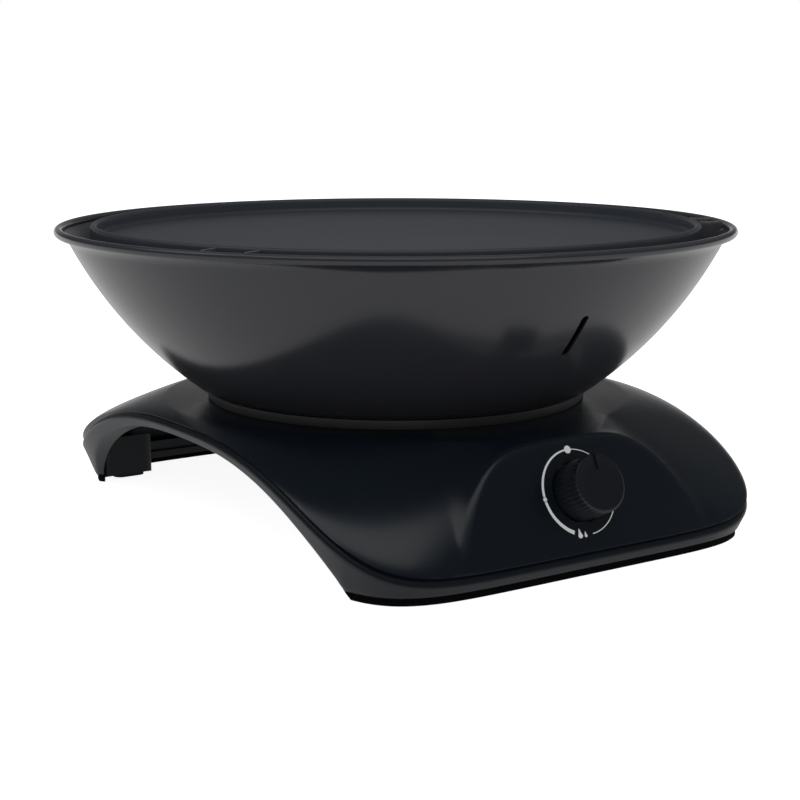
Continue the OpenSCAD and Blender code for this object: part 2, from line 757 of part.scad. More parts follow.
// Valve, along the knob's axis behind the panel
module valve_body() {
    color(brass) on_panel() difference() {
        union() {
            translate([0, 0, -valve_end]) cylinder(r = valve_r, h = valve_end - valve_plate_back);
            translate([0, 0, -valve_plate_back - eps])
                cylinder(r = neck_r, h = valve_plate_back - neck_top + eps);
            translate([0, 0, -outlet_at]) rotate([-90, 0, 0]) cylinder(r = stub_r, h = stub_len);
            translate([0, 0, -inlet_port_at]) rotate([0, 90, 0]) cylinder(r = stub_r, h = stub_len);
        }
        translate([0, 0, -valve_end - 1])
            cylinder(r = valve_bore_r + run_gap, h = valve_end + 1 - valve_shoulder);
        translate([0, 0, -valve_shoulder - 1]) cylinder(r = stem_r + run_gap, h = valve_shoulder + 1);
        translate([0, 0, -outlet_at]) rotate([-90, 0, 0]) cylinder(r = gas_r, h = stub_len + 1);
        translate([0, 0, -inlet_port_at]) rotate([0, 90, 0]) cylinder(r = gas_r, h = stub_len + 1);
    }
}
module valve_cap() {
    color(steel_grey) on_panel(-valve_end - valve_cap_t) cylinder(r = valve_r - 0.5, h = valve_cap_t);
}
module valve_plug() {
    slot_deep = tongue_end + push_travel + 1.5 - plug_top;
    color(brass) on_panel() difference() {
        translate([0, 0, -valve_end + seat_gap])
            cylinder(r = valve_bore_r, h = valve_end - seat_gap - plug_top);
        translate([0, 0, -plug_top - slot_deep / 2 + 0.5])
            cube([tongue[0] + 0.3, tongue[1] + 0.3, slot_deep + 1], center = true);
        translate([0, 0, -outlet_at]) rotate([90, 0, 0])
            cylinder(r = gas_r, h = 2 * valve_r, center = true);
    }
}
module valve_stem() {
    collar_top = valve_shoulder + seat_gap;
    color(steel_grey) on_panel() {
        translate([0, 0, -collar_top - eps]) cylinder(r = stem_r, h = collar_top + stem_reach + eps);
        translate([0, 0, -collar_top - collar_t]) cylinder(r = collar_r, h = collar_t);
        translate([-tongue[0] / 2, -tongue[1] / 2, -tongue_end])
            cube([tongue[0], tongue[1], tongue_end - collar_top - collar_t + eps]);
    }
}
module return_spring() {
    low = -plug_top + spring_wire + seat_gap;
    high = -valve_shoulder - seat_gap - collar_t - spring_wire - seat_gap;
    rings = [
        for (k = [0 : 12 * spring_turns])
            let (a = 30 * k, z = low + (high - low) * k / (12 * spring_turns))
            [for (q = [0 : 60 : 300]) let (r = spring_r + spring_wire * cos(q))
                [r * cos(a), r * sin(a), z + spring_wire * sin(q)]]
    ];
    color(steel_grey) on_panel() ring_skin(rings, false);
}
module valve_plate() {
    color(steel_grey) on_panel(-valve_plate_back) difference() {
        tube(valve_plate_r, neck_r + fit_gap, valve_plate_t);
        around(3, panel_boss_at, 90) translate([0, 0, -1])
            cylinder(r = panel_screw_r + hole_gap, h = valve_plate_t + 2);
    }
}
module valve_nut() { color(brass) on_panel(-plate_gap) nut(17, neck_r + run_gap, valve_nut_h); }
module plate_screws() {
    color(steel_grey) on_panel(-valve_plate_back) around(3, panel_boss_at, 90)
        mirror([0, 0, 1]) screw(panel_screw_r, valve_plate_t + panel_screw_grip);
}

// Knob and dial
module knob_well() {
    outer = well_r - fit_gap;
    color(shell_black) on_panel(-plate_gap) tube(outer, outer - well_wall, plate_gap - fit_gap);
}
module control_knob() {
    color(shell_black) on_panel() difference() {
        translate([0, 0, -knob_back]) cylinder(r = knob_r, h = knob_len + knob_back);
        difference() {
            translate([0, 0, -knob_back - 1]) cylinder(r = knob_cavity_r, h = knob_back + knob_cavity + 1);
            translate([0, 0, knob_boss_at]) cylinder(r = knob_boss_r, h = knob_cavity);
        }
        cylinder(r = stem_r + press_gap, h = stem_reach + 2 * fit_gap);
        around(knob_notches, knob_r + notch_out) translate([0, 0, knob_back])
            cylinder(r = notch_r, h = knob_len, $fn = 24);
        translate([-pointer_w / 2, knob_r * 0.45, knob_len - pointer_t])
            cube([pointer_w, knob_r, 2 * pointer_t]);
    }
}
module dial_arc(from, to, width) {
    rotate(90 + from) rotate_extrude(angle = to - from)
        translate([dial_r - width / 2, 0]) square([width, print_t]);
}
// A place on the dial ring, counted anticlockwise from the top and kept upright
module at_dial(a) { translate(dial_r * [-sin(a), cos(a), 0]) children(); }
// A flame mark: a round foot with a point above it
module flame(size) {
    linear_extrude(print_t) polygon([
        for (a = [-200 : 20 : 20]) size * [cos(a), sin(a)],
        [0, 2.6 * size]
    ]);
}
module dial_marks() {
    color("white") on_panel(print_gap) {
        at_dial(0) cylinder(r = dot_r, h = print_t);
        dial_arc(8, 88, 1.4);
        at_dial(92.5) cylinder(r = small_dot_r, h = print_t);
        dial_arc(97, 152, 2);
        at_dial(163) translate([0, -big_flame * 0.9, 0]) flame(big_flame);
        at_dial(172) translate([0, -small_flame * 0.9, 0]) flame(small_flame);
        dial_arc(186, 352, 0.6);
    }
}

// Gas inlet under the right-hand arch
module inlet_fitting() {
    z = inlet_port[2];
    shank_end = inlet_plate_x - feed_x + steel_t + inlet_nut_h;
    color(brass) difference() {
        union() {
            translate([feed_x, inlet_y - inlet_back, z]) rotate([-90, 0, 0])
                cylinder(r = stub_r, h = inlet_back);
            translate([feed_x, inlet_y, z]) cube(inlet_block, center = true);
            translate([feed_x, inlet_y, z]) rotate([0, 90, 0]) {
                cylinder(r = inlet_shoulder_r, h = inlet_plate_x - feed_x);
                cylinder(r = inlet_shank_r, h = shank_end);
                cylinder(r = inlet_r, h = shank_end + inlet_len);
            }
        }
        translate([feed_x, inlet_y - inlet_back - 1, z]) rotate([-90, 0, 0])
            cylinder(r = gas_r, h = inlet_back + 1);
        translate([feed_x, inlet_y, z]) rotate([0, 90, 0])
            cylinder(r = gas_r, h = shank_end + inlet_len + 1);
    }
}
module inlet_bracket() {
    z = inlet_port[2];
    flange_z = base_top_z - shell_wall - boss_h + boss_sink - steel_t;
    color(steel_grey) difference() {
        union() {
            translate([inlet_plate_x, inlet_y - bracket_half, z - bracket_half])
                cube([steel_t, 2 * bracket_half, flange_z + steel_t - z + bracket_half]);
            translate([inlet_plate_x, inlet_y - bracket_half, flange_z])
                cube([bracket_reach, 2 * bracket_half, steel_t]);
        }
        translate([inlet_plate_x - 1, inlet_y, z]) rotate([0, 90, 0])
            cylinder(r = inlet_shank_r + fit_gap, h = steel_t + 2);
        bracket_places() translate([0, 0, flange_z - 1])
            cylinder(r = bracket_screw_r + hole_gap, h = steel_t + 2);
    }
}
module inlet_nut() {
    color(brass) translate([inlet_plate_x + steel_t, inlet_y, inlet_port[2]]) rotate([0, 90, 0])
        nut(inlet_nut_af, inlet_shank_r + run_gap, inlet_nut_h);
}
module bracket_screws() {
    flange_z = base_top_z - shell_wall - boss_h + boss_sink - steel_t;
    color(steel_grey) bracket_places() translate([0, 0, flange_z]) mirror([0, 0, 1])
        screw(bracket_screw_r, steel_t + boss_h - 2);
}

base_shell();
base_frame();
foot_pads();
frame_screws();
heat_shield();
spacer_ring();
bowl();
bowl_screws();
bowl_nuts();
plate_supports();
cooking_plate();
burner_body();
burner_cap();
mixing_tube();
burner_bracket();
burner_screws();
burner_nuts();
jet_holder();
jet();
burner_pipe();
feed_pipe();
pipe_nuts();
valve_body();
valve_cap();
valve_plug();
valve_stem();
return_spring();
valve_plate();
valve_nut();
plate_screws();
knob_well();
control_knob();
dial_marks();
inlet_fitting();
inlet_bracket();
inlet_nut();
bracket_screws();
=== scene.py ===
"""Looks of the tabletop gas grill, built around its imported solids. Lengths in the tables are millimetres."""
import math

import bmesh
import bpy
from mathutils import Matrix, Vector


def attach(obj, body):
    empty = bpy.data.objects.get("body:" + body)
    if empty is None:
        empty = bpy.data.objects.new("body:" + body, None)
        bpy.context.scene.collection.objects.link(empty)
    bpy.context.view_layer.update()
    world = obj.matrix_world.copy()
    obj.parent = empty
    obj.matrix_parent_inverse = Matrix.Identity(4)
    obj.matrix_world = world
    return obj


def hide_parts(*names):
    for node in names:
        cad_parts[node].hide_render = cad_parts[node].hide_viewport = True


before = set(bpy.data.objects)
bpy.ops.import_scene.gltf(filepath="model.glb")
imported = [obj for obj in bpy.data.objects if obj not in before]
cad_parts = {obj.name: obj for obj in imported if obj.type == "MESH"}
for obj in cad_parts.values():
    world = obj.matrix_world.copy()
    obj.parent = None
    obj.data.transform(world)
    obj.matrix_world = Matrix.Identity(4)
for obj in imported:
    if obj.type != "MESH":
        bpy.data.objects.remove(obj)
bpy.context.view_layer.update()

MM = 0.001
FULL_TURN = 2 * math.pi
CORNERS = ((-1, -1), (-1, 1), (1, -1), (1, 1))

# Camera, in metres and degrees
CAMERA_LENS, CAMERA_SENSOR, CAMERA_SHIFT = 75.24, 36.0, 0.0054
CAMERA_AT, CAMERA_TILT, CAMERA_TURN = (-0.6459, -0.9575, 0.2975), 79.07, -34.0

# Light: the lamps' target, even light on the object, and the table's radius and glow, seen and mirrored
LAMP_TARGET = (0.0, 0.0, 0.1)
EVEN_LIGHT = 0.8
TABLE_R, TABLE_SEEN, TABLE_MIRRORED = 6.0, 0.92, 0.32

# Base
HALF_W, HALF_D, SQUARENESS = 170.5, 216.0, 6.0
TOP_Z, FLAT_R, SHOULDER = 80.5, 160.0, 1.25
SHELL_WALL, SHELL_LIP, OPEN_R = 3.0, 2.4, 40.0
SEAM_LOW, SEAM_HIGH, SEAM_HALF, SEAM_SQUARENESS, SEAM_FALL, SEAM_GAP = 15.5, 76.8, 216.0, 2.8, 1.25, 1.6
ARCH_H, ARCH_HALF, ARCH_SQUARENESS, ARCH_FALL = 68.0, 183.0, 2.6, 0.8
BAND_T, LIP_W, LEDGE_DROP = 12.0, 1.7, 5.1
FOOT_X, FOOT_Y, FOOT_GAP, FOOT_ROUND = 104.0, 176.0, 1.5, 1.4
TONGUE_IN, TONGUE_OUT, TONGUE_RISE, TONGUE_FROM, TONGUE_RAMP = 8.6, 7.0, 2.5, HALF_D - 19.0, 10.0
LUG_X, LUG_Y, LUG_TOP, LUG_T = 144.5, 35.0, 71.5, 3.5
LUG_LEN, LUG_W, LUG_SHIFT, LUG_BOSS_R = 24.0, 16.0, 4.0, 5.0
BRACKET_SCREWS, BRACKET_TOP, BRACKET_BOSS_R = ((103.0, 20.0), (103.0, 36.0)), 73.0, 4.0

# Panel and knob
TILT = math.radians(26.0)
PANEL_HALF, PANEL_FADE = 100.0, 0.6
CONSOLE_HALF, CONSOLE_SQUARENESS, CONSOLE_FALL = 96.0, 4.0, 0.77
EDGE_SOFT, CONSOLE_SOFT = 6.0, 20.0
KNOB_Z = 49.5
KNOB_Y = -HALF_D + (KNOB_Z - SEAM_LOW) * math.tan(TILT)
WELL_R, KNOB_R, KNOB_LEN, KNOB_BACK = 20.8, 18.5, 22.5, 2.4
WELL_FROM, WELL_DEEP = -5.0, 8.0
VALVE_BOSS_R, VALVE_BOSS_LEN, VALVE_BOSS_AT, VALVE_BOSS_FROM = 4.0, 6.5, 29.0, -8.0
DIAL_R, PRINT_Z, PRINT_TOP = 26.8, 0.02, 0.27
PANEL = Matrix.Translation((0, KNOB_Y * MM, KNOB_Z * MM)) @ Matrix.Rotation(math.pi / 2 - TILT, 4, "X")

# Bowl and plate
FLOOR_R, FLOOR_Z, FLOOR_MID, BOWL_WALL, BOWL_HOLE, WALL_STEPS = 127.0, 86.5, 80.0, 1.2, 14.0, 32
BEAD_AT, BEAD_R, BEAD_JOIN, BULGE = Vector((228.5, 196.8)), 3.0, 4.0, 7.2
SLOT_W, SLOT_LEN, SLOT_Z, SLOT_CUT, SLOT_ROUND = 5.0, 34.0, 144.0, 16.0, 0.49
PLATE_R, PLATE_TOP, PLATE_FACE, PLATE_T, RIM_W, RIM_FILLET = 207.5, 201.0, 192.0, 4.0, 4.4, 3.0
UNDER_RING, FACE_RINGS = 100.0, (150.0, 75.0, 0.0)
ROUND_STEPS = 256


# Camera and light

def aim(where, target):
    """Turns something at a place so that it looks at a target."""
    look = Vector(target) - Vector(where)
    return look.to_track_quat("-Z", "Y").to_matrix().to_4x4()


def add_camera():
    data = bpy.data.cameras.new("photo_camera")
    data.lens = CAMERA_LENS
    data.sensor_width = CAMERA_SENSOR
    data.shift_x = CAMERA_SHIFT
    camera = bpy.data.objects.new("photo_camera", data)
    camera.location = CAMERA_AT
    camera.rotation_euler = (math.radians(CAMERA_TILT), 0.0, math.radians(CAMERA_TURN))
    bpy.context.scene.collection.objects.link(camera)
    bpy.context.scene.camera = camera


def add_lamp(name, where, size, watts):
    """A rectangular softbox that looks at the object."""
    data = bpy.data.lights.new(name, "AREA")
    data.shape = "RECTANGLE"
    data.size, data.size_y = size
    data.energy = watts
    lamp = bpy.data.objects.new(name, data)
    lamp.matrix_world = Matrix.Translation(where) @ aim(where, LAMP_TARGET)
    bpy.context.scene.collection.objects.link(lamp)


def studio_world():
    """White to the camera. Reflections see a low white backdrop under a dark room with two lighter sides."""
    world = bpy.data.worlds.new("studio")
    bpy.context.scene.world = world
    world.use_nodes = True
    nodes, links = world.node_tree.nodes, world.node_tree.links
    background = nodes["Background"]
    place = nodes.new("ShaderNodeTexCoord")
    height = nodes.new("ShaderNodeSeparateXYZ")
    links.new(place.outputs["Generated"], height.inputs[0])

    def towards(direction):
        facing = nodes.new("ShaderNodeVectorMath")
        facing.operation = "DOT_PRODUCT"
        facing.inputs[1].default_value = direction
        links.new(place.outputs["Generated"], facing.inputs[0])
        return facing.outputs["Value"]

    def ramp(value, low, high, dark, bright):
        step = nodes.new("ShaderNodeMapRange")
        step.interpolation_type = "SMOOTHSTEP"
        for name, amount in (("From Min", low), ("From Max", high), ("To Min", dark), ("To Max", bright)):
            step.inputs[name].default_value = amount
        links.new(value, step.inputs["Value"])
        return step.outputs["Result"]

    def joined(operation, first, second):
        node = nodes.new("ShaderNodeMath")
        node.operation = operation
        links.new(first, node.inputs[0])
        links.new(second, node.inputs[1])
        return node.outputs[0]

    # Each ramp runs between two heights or directions, from one level of light to another
    up, to_right, to_back = height.outputs["Z"], towards((0.94, 0.342, 0.0)), towards((0.47, 0.883, 0.0))
    right_wall = joined("MULTIPLY", ramp(to_right, 0.0, 1.0, 0.0, 1.0), ramp(up, 0.05, 0.6, 0.0, 0.09))
    back_wall = joined("MULTIPLY", ramp(to_back, 0.84, 0.98, 0.0, 1.0), ramp(up, 0.1, 0.34, 0.2, 0.03))
    ceiling = ramp(up, 0.6, 1.0, 0.04, 0.2)
    backdrop = ramp(up, 0.03, 0.07, 1.0, 0.0)
    room = joined("MAXIMUM", joined("ADD", joined("ADD", right_wall, back_wall), ceiling), backdrop)
    path = nodes.new("ShaderNodeLightPath")
    light = nodes.new("ShaderNodeMix")
    light.data_type = "FLOAT"
    light.inputs["A"].default_value = EVEN_LIGHT
    shiny = joined("MAXIMUM", path.outputs["Is Glossy Ray"], path.outputs["Is Transmission Ray"])
    links.new(shiny, light.inputs["Factor"])
    links.new(room, light.inputs["B"])
    seen = joined("MAXIMUM", light.outputs["Result"], path.outputs["Is Camera Ray"])
    links.new(seen, background.inputs["Color"])


def add_floor():
    """A pale table top that looks white to the camera and pale in reflections, and keeps the shadow."""
    bm = bmesh.new()
    bmesh.ops.create_circle(bm, cap_ends=True, cap_tris=False, segments=64, radius=TABLE_R)
    mesh = bpy.data.meshes.new("floor")
    bm.to_mesh(mesh)
    bm.free()
    floor = bpy.data.objects.new("floor", mesh)
    bpy.context.scene.collection.objects.link(floor)
    material = bpy.data.materials.new("pale_floor")
    material.use_nodes = True
    nodes, links = material.node_tree.nodes, material.node_tree.links
    shader = nodes["Principled BSDF"]
    shader.inputs["Roughness"].default_value = 0.9
    shader.inputs["Specular IOR Level"].default_value = 0.0
    place = nodes.new("ShaderNodeTexCoord")
    mottle = nodes.new("ShaderNodeTexNoise")
    mottle.inputs["Scale"].default_value = 3.0
    tone = nodes.new("ShaderNodeValToRGB")
    tone.color_ramp.elements[0].color = (0.50, 0.50, 0.50, 1)
    tone.color_ramp.elements[1].color = (0.53, 0.53, 0.53, 1)
    path = nodes.new("ShaderNodeLightPath")
    shiny = nodes.new("ShaderNodeMath")
    shiny.operation = "MAXIMUM"
    mirrored = nodes.new("ShaderNodeMath")
    mirrored.operation = "MULTIPLY"
    mirrored.inputs[1].default_value = TABLE_MIRRORED
    seen = nodes.new("ShaderNodeMath")
    seen.operation = "MULTIPLY_ADD"
    seen.inputs[1].default_value = TABLE_SEEN
    links.new(place.outputs["Object"], mottle.inputs["Vector"])
    links.new(mottle.outputs["Fac"], tone.inputs["Fac"])
    links.new(tone.outputs["Color"], shader.inputs["Base Color"])
    links.new(path.outputs["Is Glossy Ray"], shiny.inputs[0])
    links.new(path.outputs["Is Transmission Ray"], shiny.inputs[1])
    links.new(shiny.outputs[0], mirrored.inputs[0])
    links.new(path.outputs["Is Camera Ray"], seen.inputs[0])
    links.new(mirrored.outputs[0], seen.inputs[2])
    links.new(seen.outputs[0], shader.inputs["Emission Strength"])
    shader.inputs["Emission Color"].default_value = (1, 1, 1, 1)
    mesh.materials.append(material)


# Finishes

def finish_group():
    """Fine grain that varies colour and roughness and gives a height, for every surface of the grill."""
    group = bpy.data.node_groups.new("fine_grain", "ShaderNodeTree")
    face = group.interface
    for name, kind, value in (
        ("Tone", "NodeSocketColor", (0.1, 0.1, 0.1, 1)),
        ("Second Tone", "NodeSocketColor", (0.12, 0.12, 0.12, 1)),
        ("Roughness", "NodeSocketFloat", 0.4), ("Roughness Spread", "NodeSocketFloat", 0.05),
        ("Grain", "NodeSocketFloat", 900.0), ("Patches", "NodeSocketFloat", 12.0),
    ):
        socket = face.new_socket(name, in_out="INPUT", socket_type=kind)
        socket.default_value = value
    face.new_socket("Color", in_out="OUTPUT", socket_type="NodeSocketColor")
    for name in ("Roughness", "Height"):
        face.new_socket(name, in_out="OUTPUT", socket_type="NodeSocketFloat")
    nodes, links = group.nodes, group.links
    source, sink = nodes.new("NodeGroupInput"), nodes.new("NodeGroupOutput")
    place = nodes.new("ShaderNodeTexCoord")
    grain, patches = nodes.new("ShaderNodeTexNoise"), nodes.new("ShaderNodeTexNoise")
    grain.inputs["Detail"].default_value = 3.0
    patches.inputs["Detail"].default_value = 4.0
    mix = nodes.new("ShaderNodeMix")
    mix.data_type = "RGBA"
    centred = nodes.new("ShaderNodeMath")
    centred.operation = "SUBTRACT"
    centred.inputs[1].default_value = 0.5
    spread = nodes.new("ShaderNodeMath")
    spread.operation = "MULTIPLY_ADD"
    for noise, scale in ((grain, "Grain"), (patches, "Patches")):
        links.new(place.outputs["Object"], noise.inputs["Vector"])
        links.new(source.outputs[scale], noise.inputs["Scale"])
    links.new(patches.outputs["Fac"], mix.inputs["Factor"])
    links.new(source.outputs["Tone"], mix.inputs["A"])
    links.new(source.outputs["Second Tone"], mix.inputs["B"])
    links.new(patches.outputs["Fac"], centred.inputs[0])
    links.new(centred.outputs[0], spread.inputs[0])
    links.new(source.outputs["Roughness Spread"], spread.inputs[1])
    links.new(source.outputs["Roughness"], spread.inputs[2])
    links.new(mix.outputs["Result"], sink.inputs["Color"])
    links.new(spread.outputs[0], sink.inputs["Roughness"])
    links.new(grain.outputs["Fac"], sink.inputs["Height"])
    return group


FINE_GRAIN, GRAIN_DEPTH = finish_group(), 0.0002


def finish(name, tone, second, roughness, spread=0.05, grain=900.0, patches=12.0, bump=0.05,
           metallic=0.0, specular=0.5):
    """A material from the shared grain."""
    material = bpy.data.materials.new(name)
    material.use_nodes = True
    nodes, links = material.node_tree.nodes, material.node_tree.links
    shader = nodes["Principled BSDF"]
    texture = nodes.new("ShaderNodeGroup")
    texture.node_tree = FINE_GRAIN
    texture.inputs["Tone"].default_value = (*tone, 1)
    texture.inputs["Second Tone"].default_value = (*second, 1)
    texture.inputs["Roughness"].default_value = roughness
    texture.inputs["Roughness Spread"].default_value = spread
    texture.inputs["Grain"].default_value = grain
    texture.inputs["Patches"].default_value = patches
    relief = nodes.new("ShaderNodeBump")
    relief.inputs["Strength"].default_value = bump
    relief.inputs["Distance"].default_value = GRAIN_DEPTH
    shader.inputs["Metallic"].default_value = metallic
    shader.inputs["Specular IOR Level"].default_value = specular
    links.new(texture.outputs["Color"], shader.inputs["Base Color"])
    links.new(texture.outputs["Roughness"], shader.inputs["Roughness"])
    links.new(texture.outputs["Height"], relief.inputs["Height"])
    links.new(relief.outputs["Normal"], shader.inputs["Normal"])
    return material


SHELL_BLACK = finish("satin_black_shell", (0.003, 0.006, 0.011), (0.004, 0.008, 0.013), 0.26, 0.06)
FRAME_BLACK = finish("black_frame", (0.003, 0.005, 0.009), (0.005, 0.008, 0.012), 0.36, 0.06, specular=0.38)
# Near-black matt skirt, darker than the frame: painted contact shadow under the band
SKIRT_BLACK_AND_SHADE = finish("matt_black_skirt_painted_shade", (0.001, 0.001, 0.002), (0.002, 0.002, 0.003), 0.8, specular=0.05)
KNOB_BLACK = finish("knob_black", (0.003, 0.005, 0.009), (0.004, 0.007, 0.011), 0.42, 0.06,
                    bump=0.1, specular=0.4)
RUBBER = finish("black_rubber", (0.010, 0.010, 0.010), (0.016, 0.016, 0.016), 0.8, 0.1, bump=0.3)
ENAMEL = finish("grey_enamel", (0.026, 0.027, 0.033), (0.031, 0.032, 0.038), 0.2, 0.04,
                grain=500.0, bump=0.04)
NON_STICK = finish("non_stick_coating", (0.029, 0.034, 0.044), (0.032, 0.038, 0.048), 0.42, 0.06,
                   grain=1400.0, bump=0.25, specular=0.4)
# Black paint of the spacer ring; on the steel heat shield the same black is painted shade in the gap under the
# bowl
BLACK_PAINT_AND_SHADE = finish("black_paint_and_painted_shade", (0.010, 0.010, 0.010), (0.014, 0.014, 0.014), 0.35)
BRIGHT_STEEL = finish("bright_steel", (0.50, 0.50, 0.51), (0.60, 0.60, 0.61), 0.32, 0.12, metallic=1.0)
BURNER_STEEL = finish("heat_dulled_steel", (0.20, 0.18, 0.16), (0.32, 0.29, 0.26), 0.45, 0.2,
                      patches=25.0, metallic=1.0)
ZINC = finish("zinc_plate", (0.56, 0.57, 0.60), (0.66, 0.67, 0.69), 0.3, 0.1, metallic=1.0)
BRASS = finish("machined_brass", (0.60, 0.43, 0.17), (0.70, 0.53, 0.24), 0.28, 0.1, metallic=1.0)
ALUMINIUM = finish("drawn_aluminium", (0.66, 0.67, 0.68), (0.76, 0.77, 0.78), 0.35, 0.1, metallic=1.0)
PRINT = finish("white_print", (0.78, 0.78, 0.78), (0.84, 0.84, 0.84), 0.5)


# Making pieces

def to_object(name, bm):
    mesh = bpy.data.meshes.new(name)
    bm.to_mesh(mesh)
    bm.free()
    piece = bpy.data.objects.new(name, mesh)
    bpy.context.scene.collection.objects.link(piece)
    return piece


def keep_piece(name, bm, material, body, slot, *nodes, sharp=35.0):
    """Makes a finished piece that stands for CAD nodes and rides on their body."""
    piece = to_object(name, bm)
    mesh = piece.data
    mesh.materials.append(material)
    for polygon in mesh.polygons:
        polygon.use_smooth = True
    mesh.set_sharp_from_angle(angle=math.radians(sharp))
    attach(piece, body)
    if nodes:
        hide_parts(*nodes)
    return piece


def combine(bm, other, operation):
    """Unites a shape with another, or cuts the other away."""
    base, tool = to_object("base", bm), to_object("tool", other)
    cut = base.modifiers.new("cut", "BOOLEAN")
    cut.operation, cut.solver, cut.object = operation, "EXACT", tool
    result = bmesh.new()
    result.from_object(base, bpy.context.evaluated_depsgraph_get())
    for used in (base, tool):
        mesh = used.data
        bpy.data.objects.remove(used)
        bpy.data.meshes.remove(mesh)
    return result


def spun(points, steps, closed=True, sweep=FULL_TURN):
    """Spins a row of points, (radius, height) in millimetres, round the Z axis."""
    bm = bmesh.new()
    row = [bm.verts.new((r * MM, 0.0, z * MM)) for r, z in points]
    edges = [bm.edges.new((a, b)) for a, b in zip(row, row[1:])]
    if closed:
        edges.append(bm.edges.new((row[-1], row[0])))
    bmesh.ops.spin(bm, geom=row + edges, cent=(0, 0, 0), axis=(0, 0, 1), angle=sweep, steps=steps,
                   use_merge=sweep == FULL_TURN)
    bmesh.ops.remove_doubles(bm, verts=bm.verts, dist=1e-6)
    bmesh.ops.recalc_face_normals(bm, faces=bm.faces)
    return bm


def spun_to(count, steps, place):
    """Spins a closed row of points, a metre apart, and moves each to the place of its angle and number."""
    bm = spun([(1000.0 * (k + 1), 0.0) for k in range(count)], steps)
    for vert in bm.verts:
        number = round(math.hypot(vert.co.x, vert.co.y)) - 1
        vert.co = Vector(place(math.atan2(vert.co.y, vert.co.x), number)) * MM
    bmesh.ops.recalc_face_normals(bm, faces=bm.faces)
    return bm


def rod(radius, length, place, segments=48):
    """A round rod along a place's Z axis, from the place outwards."""
    bm = bmesh.new()
    bmesh.ops.create_cone(bm, cap_ends=True, segments=segments, radius1=radius * MM, radius2=radius * MM,
                          depth=length * MM, matrix=place @ Matrix.Translation((0, 0, length * MM / 2)))
    return bm


def block(size, place):
    """A box with its middle at a place."""
    bm = bmesh.new()
    bmesh.ops.create_cube(bm, size=1.0, matrix=place @ Matrix.Diagonal((*[s * MM for s in size], 1.0)))
    return bm


def gather(shapes):
    """Several shapes in one."""
    whole = bmesh.new()
    for shape in shapes:
        mesh = bpy.data.meshes.new("part")
        shape.to_mesh(mesh)
        shape.free()
        whole.from_mesh(mesh)
        bpy.data.meshes.remove(mesh)
    return whole


def at(x, y, z):
    return Matrix.Translation((x * MM, y * MM, z * MM))


def arc(centre, radius, start, end, steps):
    """Points on an arc, angles in degrees."""
    turns = [math.radians(start + (end - start) * i / steps) for i in range(steps + 1)]
    return [(centre[0] + radius * math.cos(t), centre[1] + radius * math.sin(t)) for t in turns]


# Form of the base

def soft_min(a, b, k):
    """The lower of two heights, with the crease between them rounded."""
    h = max(k - abs(a - b), 0.0) / k
    return min(a, b) - h * h * k / 4


def soft_max(a, b, k):
    return -soft_min(-a, -b, k)


def outline_radius(phi, inset=0.0):
    """How far out the base reaches at an angle: a rounded rectangle."""
    return ((abs(math.cos(phi)) / (HALF_W - inset)) ** SQUARENESS
            + (abs(math.sin(phi)) / (HALF_D - inset)) ** SQUARENESS) ** (-1 / SQUARENESS)


def seam_height(y):
    """The seam between shell and frame, high at the sides and low at the front and rear."""
    share = max(1 - (abs(y) / SEAM_HALF) ** SEAM_SQUARENESS, 0.0) ** SEAM_FALL
    return SEAM_LOW + (SEAM_HIGH - SEAM_LOW) * share


def arch_height(y):
    """The underside of the frame along the sides."""
    share = max(1 - (abs(y) / ARCH_HALF) ** ARCH_SQUARENESS, 0.0) ** ARCH_FALL
    return max(FOOT_GAP, ARCH_H * share)


def dome_height(x, y):
    """The shell's top without the control panel."""
    phi = math.atan2(y, x)
    edge = outline_radius(phi)
    low = seam_height(edge * math.sin(phi))
    t = min(max((edge - math.hypot(x, y)) / (edge - FLAT_R), 0.0), 1.0)
    return low + (TOP_Z - low) * (1 - (1 - t) ** SHOULDER) ** (1 / SHOULDER)


def top_height(x, y):
    """The shell's top, with the raised console and its flat panel at the front."""
    dome = dome_height(x, y)
    if y >= 0:
        return dome
    flank = TOP_Z * max(1 - (abs(x) / CONSOLE_HALF) ** CONSOLE_SQUARENESS, 0.0) ** CONSOLE_FALL
    console = min(soft_max(dome, flank, CONSOLE_SOFT), TOP_Z)
    edge_y = HALF_D * max(1 - (abs(x) / HALF_W) ** SQUARENESS, 0.0) ** (1 / SQUARENESS)
    panel = SEAM_LOW + (edge_y + y) / math.tan(TILT) + PANEL_FADE * max(abs(x) - PANEL_HALF, 0.0)
    return soft_min(console, panel, EDGE_SOFT)


def top_normal(x, y):
    step = 0.4
    slope_x = (top_height(x + step, y) - top_height(x - step, y)) / (2 * step)
    slope_y = (top_height(x, y + step) - top_height(x, y - step)) / (2 * step)
    return Vector((-slope_x, -slope_y, 1.0)).normalized()


# Base pieces

OUTER_ROWS, INNER_ROWS, SHELL_STEPS, BAND_STEPS = 80, 16, 512, 480
# How closely the shell's rows crowd toward its edge, outside and inside
OUTER_CROWD, INNER_CROWD = 1.35, 0.8
# The shell's rounded lower edge: distance in from the outline, height above the seam
SHELL_EDGE, EDGE_TOP = ((0.9, 0.0), (0.2, 0.5)), 0.6


